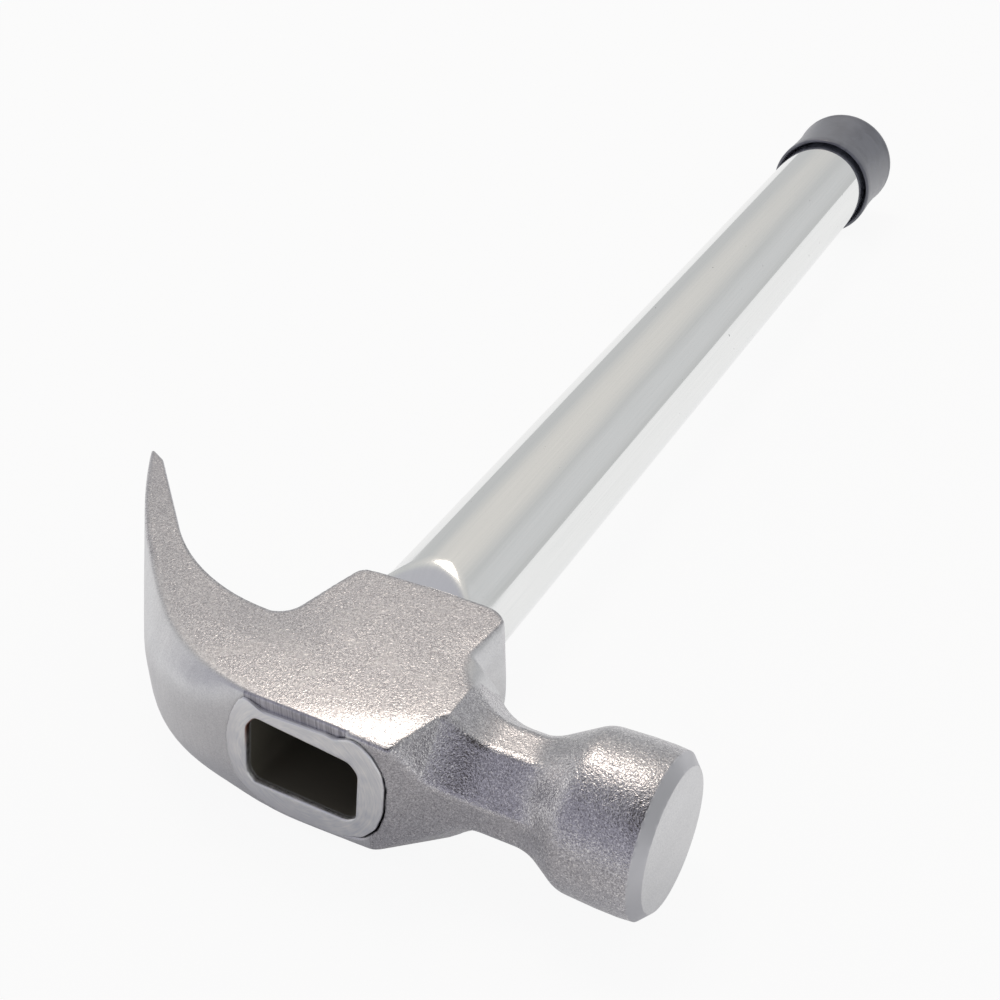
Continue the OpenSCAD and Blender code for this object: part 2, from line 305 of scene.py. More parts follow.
def corner_outline(crown_x, end_x, end_h):
    """The head seen at 45 degrees: the facet from crown to cheek, and the one
    on the other side of the neck."""
    facet = neck_bend(CROWN_FACET, (end_x, (CHEEK + end_h) / ROOT_2))
    skirt_x = SKIRT_POLL + 0.4
    points = [(-2 * PAST, PAST), (crown_x - 4, PAST), (crown_x, (CHEEK - CROWN[1]) / ROOT_2)]
    points += facet[::-1] + [(NECK_STOP, CROWN_FACET), (NECK_STOP, -GRIP_FACET)]
    points += below(neck_bend(GRIP_FACET, (skirt_x, 20.2)))
    return points + [(skirt_x, -PAST), (-2 * PAST, -PAST)]


BARREL_EDGE = (59.9, 14.4)
FACE_EDGE = (61.8, 12.4)
FACE_STEPS = 6


def poll_outline():
    """Half of the poll's section: flare, shoulder, domed barrel, bevel and face."""
    flare, shoulder = (36.6, 8.4), (45.3, 13.55)
    points = [(flare[0], -PAST), flare, shoulder]
    points += bend(shoulder, heading=30.5, radius=-6, turn=-28.5, steps=8)
    points += [(53.5, 14.6), (57.5, 14.6), BARREL_EDGE]
    face_r, face_x = 100, 62.57
    for i in range(FACE_STEPS, -1, -1):
        out = FACE_EDGE[1] * i / FACE_STEPS
        points.append((face_x - face_r + math.sqrt(face_r ** 2 - out ** 2), out))
    return points + [(face_x, -PAST)]


class Outline:
    """A closed outline as a table of signed distances, negative inside."""

    def __init__(self, points, low, high, step=0.3):
        self.low, self.step = low, step
        u = np.arange(low[0], high[0] + step, step)[:, None]
        v = np.arange(low[1], high[1] + step, step)[None, :]
        nearest = np.full((u.size, v.size), np.inf)
        inside = np.zeros((u.size, v.size), bool)
        for (u0, v0), (u1, v1) in zip(points, points[1:] + points[:1]):
            du, dv = u1 - u0, v1 - v0
            along = np.clip(((u - u0) * du + (v - v0) * dv) / (du * du + dv * dv + 1e-12), 0, 1)
            gap = (u - u0 - along * du) ** 2 + (v - v0 - along * dv) ** 2
            nearest = np.minimum(nearest, gap)
            if v0 != v1:
                inside ^= ((v0 > v) != (v1 > v)) & (u < u0 + (v - v0) * du / dv)
        self.table = np.sqrt(nearest) * np.where(inside, -1, 1)

    def __call__(self, u, v):
        """The distance at places given in two axes, between the table's points."""
        rows, columns = self.table.shape
        a = np.clip((u - self.low[0]) / self.step, 0, rows - 1.001)
        b = np.clip((v - self.low[1]) / self.step, 0, columns - 1.001)
        i, j = a.astype(int), b.astype(int)
        a, b = a - i, b - j
        lower = self.table[i, j] * (1 - a) + self.table[i + 1, j] * a
        upper = self.table[i, j + 1] * (1 - a) + self.table[i + 1, j + 1] * a
        return lower * (1 - b) + upper * b


# Every outline's table reaches a little past the head along X.
LEFT, RIGHT = -76, 68
middle_curve = back_curve(bend_x=18, fall=1.2, radius=30, angle=51, tip=(-72.6, 36.8))
edge_curve = back_curve(bend_x=2, fall=0, radius=56, angle=38, tip=CLAW_TIP)
back_middle = Outline(side_outline(middle_curve), (LEFT, -22), (RIGHT, 42))
back_edge = Outline(side_outline(edge_curve), (LEFT, -22), (RIGHT, 42))
plan = Outline(plan_outline(), (LEFT, -18), (RIGHT, 18))
upper_outline = corner_outline(crown_x=CROWN[0], end_x=22, end_h=4.7)
lower_outline = corner_outline(crown_x=12.0, end_x=24.8, end_h=3.7)
upper_corner = Outline(upper_outline, (LEFT, -42), (RIGHT, 42))
lower_corner = Outline(lower_outline, (LEFT, -42), (RIGHT, 42))
poll = Outline(poll_outline(), (LEFT, -1), (RIGHT, 42))


def corners_at(x, y, z):
    """Signed distances to the head as seen along its upper and lower corners."""
    return upper_corner(x, (z - y) / ROOT_2), lower_corner(x, (-z - y) / ROOT_2)


def round_max(a, b, r):
    """What two solids share, with the edge between them rounded over about r."""
    h = np.maximum(r - np.abs(a - b), 0) / r
    return np.maximum(a, b) + h * h * r / 4


def round_min(a, b, r):
    return -round_max(-a, -b, r)


def way(value, start, end):
    """How far a value is on its way from start to end, from 0 to 1."""
    return np.clip((value - start) / (end - start), 0, 1)


SLOT_TURN = math.radians(139)
SLOT_ROOT = (-40.1, 8.84)
SLOT_ROOT_R = 1.2
SLOT_WIDENS = 0.0964


def nail_slot(x, y, z):
    """Signed distance to the V between the claws, with its round root."""
    along = (x - SLOT_ROOT[0]) * math.cos(SLOT_TURN) + (y - SLOT_ROOT[1]) * math.sin(SLOT_TURN)
    wedge = np.abs(z) - SLOT_ROOT_R - SLOT_WIDENS * along
    root = np.hypot(along, z) - SLOT_ROOT_R
    return np.where(along > 0, wedge, root)


# The rim's outline round the tube's axis at the crown, in X and Z: a wide lobe
# on the poll's side, and flat on the side of each cheek. Its corners are
# softened over an angle in radians.
RIM = [
    (16.8, 3.4), (16.5, 6.8), (14.7, 10.2), (12.3, 12.3), (10.2, 12.7), (9.0, 11.1), (0, 10.8),
    (-7.2, 10.7), (-10.2, 12.3), (-11.6, 11.9), (-13.6, 8.2), (-15.1, 3.1), (-15.5, -1.6),
    (-14.8, -6.5), (-13.2, -9.8), (-10, -11.8), (-5, -12.5), (0, -12.6), (6, -12.4),
    (11.2, -11), (14.2, -7.6), (16.0, -3),
]
RIM_SOFT = 0.09
# The tube's radius, and where it is squeezed, half its thickness, how round its
# two flats and the edges beside them are, and how much wider it gets.
TUBE_R = 12.7
SQUEEZED = 9.6
FLAT_R = 130
FLAT_EDGE = 1.0
WIDENS = 0.8


def round_loop(points, angles, soften, per_side=24, samples=9):
    """The radius of a closed outline at each angle, its corners softened over
    an angle."""
    corners = np.array(points, float)
    following = np.roll(corners, -1, axis=0)
    steps = np.linspace(0, 1, per_side, endpoint=False)
    dense = np.concatenate([corners + (following - corners) * t for t in steps])
    turn, radius = np.arctan2(dense[:, 1], dense[:, 0]), np.hypot(*dense.T)
    order = np.argsort(turn)
    offsets = np.linspace(-soften, soften, samples)
    radii = [np.interp(angles + d, turn[order], radius[order], period=2 * math.pi) for d in offsets]
    return np.average(radii, axis=0, weights=np.hanning(samples + 2)[1:-1])


def squeezed(angles, half_t):
    """The radius of the round tube where its thickness is squeezed between two
    flats that stay a little crowned."""
    sunk = FLAT_R - half_t
    flat = np.sqrt(FLAT_R ** 2 - (sunk * np.cos(angles)) ** 2) - sunk * np.abs(np.sin(angles))
    wide = TUBE_R + WIDENS * max(1 - (half_t - SQUEEZED) / (TUBE_R - SQUEEZED), 0) ** 2
    return round_min(np.full_like(flat, wide), flat, FLAT_EDGE)


TURNS = np.linspace(-math.pi, math.pi, 721)
RIM_R = round_loop(RIM, TURNS, RIM_SOFT)
EYE_END_R = squeezed(TURNS, SQUEEZED)


def eye(x, y, z):
    """Signed distance to the tapered eye that the tube fills."""
    down = way(y, CROWN[1], SKIRT_END)
    turn = np.arctan2(z, x + 0 * y)
    rim, end = np.interp(turn, TURNS, RIM_R), np.interp(turn, TURNS, EYE_END_R)
    return np.hypot(x, z) - rim * (1 - down) - end * down


# The skirt's wall on the poll's side is ground: it leans out towards the grip,
# is hollow-ground about a middle, and rounds off past its flat to the cheeks.
WALL_LEANS = 0.1
WALL_BASE = 18
WALL_MIDDLE = 11
WALL_HOLLOW = 130
WALL_FLAT = 8
WALL_ROUNDS = 1.5
WALL_PAST = 1.2
# Where it ends towards the poll's axis, nearer to it at the cheeks than in the
# middle, and the fillet there.
FOOT = 14.4
FOOT_DROPS = 4
FOOT_FROM, FOOT_TO = 1, 11
FOOT_SLOPE = 0.8
FOOT_SOFT = 2
WALL_CUT = 3
# A scoop in it beside each cheek, as a ball, and the collar on the claw's side.
SCOOP_R = 14
SCOOP_MIDDLE = (29, 12, 24.05)
COLLAR_R = 15
COLLAR_X = -2
COLLAR_START = 6
COLLAR_SHORT = 0.5
COLLAR_INSET = 1.2


def skirt_scoop(x, y, z):
    """Signed distance to what a ground scoop leaves where the skirt's wall, the
    cheek and the neck meet."""
    mx, my, mz = SCOOP_MIDDLE
    return SCOOP_R - np.sqrt((x - mx) ** 2 + (y - my) ** 2 + (z - mz) ** 2)


def skirt_wall(y, z):
    """How far out the skirt's ground wall stands on the poll's side."""
    rounded = WALL_ROUNDS * np.clip((np.abs(z) - WALL_FLAT) / (CHEEK - WALL_FLAT), 0, WALL_PAST) ** 2
    hollow = (WALL_MIDDLE - z) ** 2 / WALL_HOLLOW
    return SKIRT_POLL + WALL_LEANS * (y - WALL_BASE) - hollow - rounded


def wall_foot(z):
    """Where the wall ends towards the poll's axis."""
    return FOOT - FOOT_DROPS * way(np.abs(z), FOOT_FROM, FOOT_TO)


def skirt_collar(x, y, z):
    """Signed distance to the skirt's swell round the tube on the claw's side,
    which keeps its wall whole there."""
    ends = np.maximum(y - SKIRT_END + COLLAR_SHORT, COLLAR_START - y)
    sides = np.maximum(x - COLLAR_X, np.abs(z) - CHEEK + COLLAR_INSET)
    return np.maximum(np.maximum(ends, sides), np.hypot(x, z) - COLLAR_R)


# How the back is crowned across its width, and how much the cheeks roll off
# towards the back and towards the crown's corner by the neck. The roll fades
# out along Y towards the skirt, and along X on the neck.
CROWN_FULLNESS = 3.7
CROWN_PAST = 1.15
ROLL_SINKS = 0.35
ROLL_WIDTH = 13
ROLL_FADES_Y = (17, 5)
ROLL_FADES_X = (24, 19)
CORNER_SINKS = 0.75
CORNER_WIDTH = 9
CORNER_FACING = (0.35, 0.94)
# How softly the outlines, the poll, the collar, the scoops, the skirt's wall
# and the nail slot meet the rest.
EDGE_SOFT = 0.6
POLL_SOFT = 1.4
COLLAR_SOFT = 1.5
SCOOP_SOFT = 1.2
WALL_SOFT = 0.5
SLOT_SOFT = 0.9


def corner_sinks(x, y):
    """How much each cheek rolls off towards its edge with the neck's facet."""
    from_edge = CORNER_FACING[0] * (CROWN[0] - x) + CORNER_FACING[1] * (y - CROWN[1])
    return CORNER_SINKS * np.clip(1 - np.maximum(from_edge, 0) / CORNER_WIDTH, 0, 1) ** 2


def forging_field(x, y, z):
    """Signed distance to the head before its eye is made, roughly, in
    millimetres: negative inside."""
    across = np.minimum(np.abs(z) / CHEEK, CROWN_PAST) ** CROWN_FULLNESS
    edge = back_edge(x, y)
    side = (1 - across) * back_middle(x, y) + across * edge
    rolled = ROLL_SINKS * np.clip(1 + edge / ROLL_WIDTH, 0, 1) ** 2 * way(y, *ROLL_FADES_Y)
    rolled = (rolled + corner_sinks(x, y)) * way(x, *ROLL_FADES_X)
    body = round_max(side, plan(x, z) + rolled, EDGE_SOFT)
    for corner in corners_at(x, y, z):
        body = round_max(body, corner, EDGE_SOFT)
    body = round_min(body, poll(x, np.sqrt(y * y + z * z)), POLL_SOFT)
    body = round_min(body, skirt_collar(x, y, z), COLLAR_SOFT)
    for cheek_side in (-1, 1):
        body = round_max(body, skirt_scoop(x, y, z * cheek_side), SCOOP_SOFT)
    from_wall = x - skirt_wall(y, z)
    fillet = y - wall_foot(z) + FOOT_SLOPE * np.minimum(from_wall, 0)
    cut_back = np.minimum(round_min(from_wall, fillet, FOOT_SOFT), SKIRT_POLL + WALL_CUT - x)
    body = round_max(body, cut_back, WALL_SOFT)
    return round_max(body, -nail_slot(x, y, z), SLOT_SOFT)


# A strip of the head's wall between the tube's rim and the upper cheek is set a
# little lower: its middle and half its size in X and Z, its floor in Y, and
# where its scored finish, painted darker as shade, ends in Y.
STRIP_MIDDLE = (-0.7, 15)
STRIP_HALF = (10.3, 4.6)
STRIP_CORNER = 0.5
STRIP_FLOOR = -14.45
STRIP_SEEN = -13


def boxed(u, v, half_u, half_v, corner):
    """Signed distance to a rectangle with round corners."""
    a, b = np.abs(u) - half_u + corner, np.abs(v) - half_v + corner
    outside = np.hypot(np.maximum(a, 0), np.maximum(b, 0))
    return outside + np.minimum(np.maximum(a, b), 0) - corner


def strip_place(x, z):
    """Signed distance to the strip beside the rim, seen along the handle."""
    return boxed(x - STRIP_MIDDLE[0], z - STRIP_MIDDLE[1], *STRIP_HALF, STRIP_CORNER)


def head_field(x, y, z):
    """The same distance, with the eye and the strip."""
    strip = np.maximum(strip_place(x, z), y - STRIP_FLOOR)
    return np.maximum(forging_field(x, y, z), -np.minimum(eye(x, y, z), strip))


def skin_faces(solid, number):
    """Four-sided faces across the grid edges that pass through a surface, given
    which places are solid and the number of the vertex in each cell."""
    faces = []
    for axis in range(3):
        u, v = (axis + 1) % 3, (axis + 2) % 3
        near = [slice(1, -1)] * 3
        near[axis] = slice(0, -1)
        far = list(near)
        far[axis] = slice(1, None)
        changes = solid[tuple(near)] != solid[tuple(far)]
        at = np.argwhere(changes)
        leaving = solid[tuple(near)][changes]
        at[:, u] += 1
        at[:, v] += 1
        ring = []
        for du, dv in ((1, 1), (0, 1), (0, 0), (1, 0)):
            cell = at.copy()
            cell[:, u] -= du
            cell[:, v] -= dv
            ring.append(number[tuple(cell.T)])
        ring = np.stack(ring, axis=1)
        ring[~leaving] = ring[~leaving][:, ::-1]
        faces.append(ring)
    return np.concatenate(faces)


def skin(field, low, high, step):
    """Vertices and four-sided faces of the surface where a field is nought, and
    the centre of the cell that each vertex stands for."""
    ticks = [np.arange(a, b + step, step) for a, b in zip(low, high)]
    x, y, z = np.meshgrid(*ticks, indexing="ij", sparse=True)
    value = np.broadcast_to(field(x, y, z), [t.size for t in ticks])
    solid = value < 0
    size = np.array(value.shape) - 1
    corners = [np.array((i, j, k)) for i in (0, 1) for j in (0, 1) for k in (0, 1)]
    windows = [tuple(slice(c, c + n) for c, n in zip(corner, size)) for corner in corners]
    filled = sum(solid[window].astype(int) for window in windows)
    cells = np.argwhere((filled > 0) & (filled < len(corners)))
    number = np.full(size, -1)
    number[tuple(cells.T)] = np.arange(len(cells))
    total, crossings = np.zeros((len(cells), 3)), np.zeros(len(cells))
    for a in corners:
        for axis in range(3):
            if a[axis]:
                continue
            b = a + np.eye(3, dtype=int)[axis]
            fa, fb = value[tuple((cells + a).T)], value[tuple((cells + b).T)]
            hit = (fa < 0) != (fb < 0)
            place = a + np.outer(fa / np.where(hit, fa - fb, 1), b - a)
            total[hit] += place[hit]
            crossings += hit
    points = (cells + total / crossings[:, None]) * step + np.array(low)
    centres = (cells + 0.5) * step + np.array(low)
    return points, skin_faces(solid, number), centres


def slope(field, points, reach=0.06):
    """The direction in which a field grows, at each point."""
    grown = []
    for axis in range(3):
        out, back = points.copy(), points.copy()
        out[:, axis] += reach
        back[:, axis] -= reach
        grown.append((field(*out.T) - field(*back.T)) / (2 * reach))
    return np.stack(grown, axis=1)


def settle(field, points, rounds=3, least_steep=0.2):
    """Moves points onto the surface where a field is nought."""
    for _ in range(rounds):
        grown = slope(field, points)
        steep = np.maximum((grown ** 2).sum(axis=1), least_steep)
        points = points - grown * (field(*points.T) / steep)[:, None]
    return points


def on_ring(points, centres, reach, ring):
    """Moves the points whose cells a sharp round edge of the poll passes onto
    that edge, and tells which points those are."""
    edge_x, edge_r = ring
    turn = np.arctan2(centres[:, 2], centres[:, 1])
    nearest = np.stack([np.full_like(turn, edge_x), edge_r * np.cos(turn), edge_r * np.sin(turn)], axis=1)
    passed = np.abs(nearest - centres).max(axis=1) <= reach
    points[passed] = nearest[passed]
    return passed


# The grid that the head's skin is found on, and how near to the centre of a
# cell a sharp edge of the poll has to pass to draw that cell's point to it.
HEAD_STEP = 0.48
HEAD_LOW, HEAD_HIGH = (-75, -18, -16), (65.5, 39, 16)
RING_REACH = HEAD_STEP * 0.52
points, faces, centres = skin(head_field, HEAD_LOW, HEAD_HIGH, HEAD_STEP)
points = settle(head_field, points)
edges_of_poll = [on_ring(points, centres, RING_REACH, ring) for ring in (BARREL_EDGE, FACE_EDGE)]


def new_piece(name, points_mm, faces, material):
    """A smooth piece of the hammer, from points in millimetres about the place
    where the handle's axis crosses the poll's."""
    mesh = bpy.data.meshes.new(name)
    places = np.asarray(points_mm) * MM + np.array((0, 0, CHEEK * MM))
    mesh.from_pydata(places.tolist(), [], np.asarray(faces).tolist())
    mesh.shade_smooth()
    mesh.materials.append(material)
    piece = bpy.data.objects.new(name, mesh)
    scene.collection.objects.link(piece)
    return piece


def mark_sharp(mesh, on_edge):
    """Makes sharp the edges between points that lie on one edge of the shape."""
    ends = np.empty(2 * len(mesh.edges), int)
    mesh.edges.foreach_get("vertices", ends)
    sharp = on_edge[ends.reshape(-1, 2)].all(axis=1)
    for index in np.flatnonzero(sharp):
        mesh.edges[index].use_edge_sharp = True


# Where the head is ground. The back, up to a line from the crown's side of the
# cheek to the claw's tips, keeps inside the cheeks and ends before the neck. The
# skirt's wall is ground some way in from its surface, and so are the scoops.
GROUND_BACK_X = (20, 72)
GROUND_BACK_Y = (-4, 36)
GROUND_BACK_STOP = 12.5
GROUND_BACK_INSET = 0.4
GROUND_DEPTH = 0.35
GROUND_REACH = 4
GROUND_WALL_INSET = 0.25
GROUND_SCOOP_X = 16
FACETS_FADE = 1.2


def inside_ground(points):
    """How many millimetres each point lies inside a ground place: the back and
    crown, the face with its bevel, and the skirt's wall with its scoops."""
    x, y, z = points.T
    from_cheek = CHEEK - np.abs(z)
    above_line = np.interp(-x, GROUND_BACK_X, GROUND_BACK_Y) - y
    within = from_cheek - GROUND_BACK_INSET - corner_sinks(x, y)
    on_back = np.min([GROUND_BACK_STOP - x, within, above_line], axis=0)
    from_wall = x - skirt_wall(y, z)
    above_foot = y - wall_foot(z) + GROUND_REACH
    on_wall = np.min([from_wall + GROUND_DEPTH, GROUND_REACH - from_wall, above_foot,
                      from_cheek - GROUND_WALL_INSET], axis=0)
    in_scoop = np.minimum(GROUND_DEPTH - np.abs(skirt_scoop(x, y, np.abs(z))), x - GROUND_SCOOP_X)
    return np.max([on_back, x - BARREL_EDGE[0], on_wall, in_scoop], axis=0)


def on_facets(points):
    """Which points lie on the neck's facets and the poll, where the blasted
    forging is coarser and has more painted glints."""
    return np.clip(1 + np.maximum(*corners_at(*points.T)) / FACETS_FADE, 0, 1)


def add_values(piece, name, values):
    """Gives each point of a piece a value that its material reads."""
    layer = piece.data.attributes.new(name, "FLOAT", "POINT")
    layer.data.foreach_set("value", np.asarray(values, np.float32))


def read_values(tree, name):
    return new_node(tree, "ShaderNodeAttribute", attribute_name=name).outputs["Fac"]


def new_group(name, inputs, outputs):
    """An empty shader node group with named sockets, its entry and its exit."""
    tree = bpy.data.node_groups.new(name, "ShaderNodeTree")
    for socket_name, kind in inputs.items():
        tree.interface.new_socket(socket_name, in_out="INPUT", socket_type=kind)
    for socket_name in outputs:
        tree.interface.new_socket(socket_name, in_out="OUTPUT", socket_type="NodeSocketFloat")
    return tree, new_node(tree, "NodeGroupInput").outputs, new_node(tree, "NodeGroupOutput")


def place_group(tree, group, **values):
    """Puts a node group in a material, with a value for each of its inputs."""
    node = new_node(tree, "ShaderNodeGroup", node_tree=group)
    feed(tree, node, values)
    return node.outputs


def fine_grain():
    """A noise over the piece. It is distorted, so that its own grid doesn't
    beat with the pixels."""
    sizes = {"Place": "NodeSocketVector", "Scale": "NodeSocketFloat", "Detail": "NodeSocketFloat"}
    tree, entry, leave = new_group("fine grain", sizes, ("Shade",))
    texture = new_node(tree, "ShaderNodeTexNoise")
    feed(tree, texture, {"Vector": entry["Place"], "Scale": entry["Scale"], "Detail": entry["Detail"],
                         "Distortion": 1.2})
    feed(tree, leave, {"Shade": texture.outputs["Fac"]})
    return tree


def grinding_strokes():
    """Fine strokes of a grinding belt: long one way, short across, uneven."""
    sizes = dict.fromkeys(("Across", "Along", "Width", "Stretch"), "NodeSocketFloat")
    tree, entry, leave = new_group("grinding strokes", sizes, ("Shade", "Patches"))
    across = joined(tree, "DIVIDE", entry["Across"], entry["Width"])
    along = joined(tree, "DIVIDE", entry["Along"], entry["Width"])
    short = joined(tree, "DIVIDE", along, entry["Stretch"])
    for name, second, scale, detail in (("Shade", short, 1, 3), ("Patches", along, 0.12, 2)):
        vector = new_node(tree, "ShaderNodeCombineXYZ")
        feed(tree, vector, {"X": across, "Y": second})
        texture = new_node(tree, "ShaderNodeTexNoise")
        feed(tree, texture, {"Vector": vector.outputs[0], "Scale": scale, "Detail": detail})
        feed(tree, leave, {name: texture.outputs["Fac"]})
    return tree


grains = fine_grain()
strokes = grinding_strokes()


def grain_of(tree, size_mm, detail, place):
    """Grain on a piece, with features of a size."""
    return place_group(tree, grains, Place=place, Scale=1 / MM / size_mm, Detail=detail)["Shade"]


def piece_axes(tree):
    """The places on a piece, and the three axes apart."""
    place = new_node(tree, "ShaderNodeTexCoord").outputs["Object"]
    axes = new_node(tree, "ShaderNodeSeparateXYZ")
    feed(tree, axes, {0: place})
    return place, axes.outputs["X"], axes.outputs["Y"], axes.outputs["Z"]


def finish_bump(tree, shader, height, strength, depth_mm):
    """Roughs a shader's surface up by a height."""
    bump = new_node(tree, "ShaderNodeBump")
    feed(tree, bump, {"Strength": strength, "Distance": depth_mm * MM, "Height": height})
    feed(tree, shader, {"Normal": bump.outputs["Normal"]})


# The steel's colours, from dark to bright where there are two: as blasted, as
# blasted near the claw's tips, its painted glints (bright specks standing in for
# light caught by the grain), as ground, as ground on the bevel with painted shade
# that makes it darker and bluer, and as scored on the strip with painted shade
# that makes it darker.
BLASTED = ((0.34, 0.33, 0.35, 1), (0.66, 0.65, 0.675, 1))
BLASTED_TIP = ((0.40, 0.39, 0.42, 1), (0.60, 0.585, 0.61, 1))
PAINTED_GLINT = (0.95, 0.93, 0.92, 1)
GROUND = ((0.58, 0.58, 0.595, 1), (0.78, 0.78, 0.79, 1))
SHADED_BEVEL = (0.52, 0.52, 0.545, 1)
SCORED_AND_SHADED = ((0.30, 0.295, 0.33, 1), (0.58, 0.57, 0.61, 1))
# Where the tip's colour and the bevel's painted shade come in, in metres along Y and X.
TIP_FROM, TIP_TO = 0.024, 0.031
BEVEL_FROM, BEVEL_TO = (0.0590, 0.0595), (0.0618, 0.0617)


def forged_steel():
    """Blasted steel, warm grey with painted glints, with ground places where
    "ground" is above nought, a bevel painted darker as shade, and the striated
    strip where "strip" is, painted darker as shade."""
    material, tree, steel = new_material("forged steel")
    place, x, y, z = piece_axes(tree)
    ground = spread(tree, read_values(tree, "ground"), -0.15, 0.15)
    strip = spread(tree, read_values(tree, "strip"), -0.1, 0.1)
    coarse_glinting = read_values(tree, "coarse_glinting")
    tip = spread(tree, y, TIP_FROM, TIP_TO)
    bevel = joined(tree, "MULTIPLY", spread(tree, x, *BEVEL_FROM), spread(tree, x, *BEVEL_TO))
    grain = grain_of(tree, 0.27, 1, place)
    dimples = grain_of(tree, 0.45, 0, place)
    patches = grain_of(tree, 9, 2, place)
    belt = place_group(tree, strokes, Across=x, Along=z, Width=0.0005, Stretch=14)
    scores = place_group(tree, strokes, Across=x, Along=y, Width=0.00035, Stretch=9)

    peen = spread(tree, grain, 0.36, 0.64)
    dark, light = [blend_of(tree, "RGBA", tip, a, b) for a, b in zip(BLASTED, BLASTED_TIP)]
    blasted = blend_of(tree, "RGBA", peen, dark, light)
    # Painted glints: near-white specks painted into the colour where the grain would catch the light,
    # more of them on the facets and the poll.
    painted_glints = spread(tree, grain_of(tree, 0.3, 0, place), 0.60, 0.72)
    painted_glints = joined(tree, "MULTIPLY", painted_glints, spread(tree, coarse_glinting, 0, 1, 0.5, 0.85))
    blasted = blend_of(tree, "RGBA", painted_glints, blasted, PAINTED_GLINT)

    belted = spread(tree, belt["Shade"], 0.3, 0.7, -0.1, 0.1)
    worn = joined(tree, "ADD", belted, spread(tree, grain, 0.2, 0.8))
    # Painted shade: the bevel's ground steel is painted darker and bluer than the face.
    bright = blend_of(tree, "RGBA", bevel, blend_of(tree, "RGBA", worn, *GROUND), SHADED_BEVEL)
    # Painted shade: the strip's scored steel is painted darker and bluer than the cheeks around it.
    scored_and_shaded = blend_of(tree, "RGBA", spread(tree, scores["Shade"], 0.35, 0.65), *SCORED_AND_SHADED)
    smooth = blend_of(tree, "RGBA", strip, bright, scored_and_shaded)

    forged_rough = spread(tree, patches, 0.3, 0.7, 0.24, 0.29)
    ground_rough = spread(tree, belt["Patches"], 0.3, 0.7, 0.34, 0.44)
    feed(tree, steel, {
        "Metallic": 1,
        "Base Color": blend_of(tree, "RGBA", ground, blasted, smooth),
        "Roughness": blend_of(tree, "FLOAT", ground, forged_rough, ground_rough),
    })
    pitted = joined(tree, "MULTIPLY", dimples, spread(tree, coarse_glinting, 0, 1, 1, 2.4))
    shallow = joined(tree, "MULTIPLY", belt["Shade"], 0.06)
    height = blend_of(tree, "FLOAT", ground, pitted, shallow)
    finish_bump(tree, steel, height, strength=1.0, depth_mm=0.036)
    return material


head = new_piece("forged_head", points, faces, forged_steel())
for on_edge in edges_of_poll:
    mark_sharp(head.data, on_edge)
add_values(head, "ground", inside_ground(points))
add_values(head, "coarse_glinting", on_facets(points))
in_strip = -strip_place(points[:, 0], points[:, 2])
add_values(head, "strip", np.where(points[:, 1] < STRIP_SEEN, in_strip, -1))
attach(head, "root")
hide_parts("head")

# Handle. Drawn steel tube, chromed: squeezed flat where it enters the skirt,
# spread to a thick rim in the eye and ground flush with the crown, where its
# bore ends in a crooked black hole.
# The hole's outline at the crown, in X and Z. Between two places down the
# handle it widens to the round bore.
HOLE = [
    (-8.6, 9.1), (-10.6, 6.5), (-12.2, -4.8), (-11, -7), (8, -7.7), (10, -6.4), (11.3, 4.6),
    (9.8, 6.7),
]
HOLE_SOFT = 0.1
HOLE_END = 24
BORE_START = 36
BORE_R = 10.9
TUBE_END = 270
AROUND = 256
# The rim stands a little proud of the crown and is ground almost flush towards
# the claw. It overlaps the head there, and leaves a crack on the poll's side.
RIM_PROUD = 0.08
RIM_FLUSH = 0.01
CRACK = 0.4
OVERLAP = 0.35
# The poll's side and the claw's side of the rim each come in between the
# cosines of two turns about the axis, and the wear comes in from this ring.
POLL_SIDE = (0.45, 0.65)
CLAW_SIDE = (0.65, 0.15)
WORN_RING = 5
# The rings of the rim's face: the share of the way from hole to rim, and how
# far each is moved out and sunk, so that both of its edges are rounded.
FACE_RINGS = [(0, 0.04, 0.3), (0, 0.15, 0.08), (0, 0.35, 0)]
FACE_RINGS += [(share, 0, 0) for share in (0.2, 0.3, 0.4, 0.5, 0.6, 0.7, 0.8, 0.88)]
FACE_RINGS += [(1, -0.3, 0), (1, -0.08, 0.09), (1, 0, 0.35)]
# The flats below the skirt rise to the round tube from here, at this rate.
FLATS_END = 26.4
FLATS_RISE = 0.55


def on_crown(x, z, rounds=8, reach=0.05, least_steep=-0.5):
    """The height of the head's back or crown at places on it."""
    y = np.full_like(x, CROWN[1])
    for _ in range(rounds):
        rise = (forging_field(x, y + reach, z) - forging_field(x, y - reach, z)) / (2 * reach)
        y = y - forging_field(x, y, z) / np.minimum(rise, least_steep)
    return y


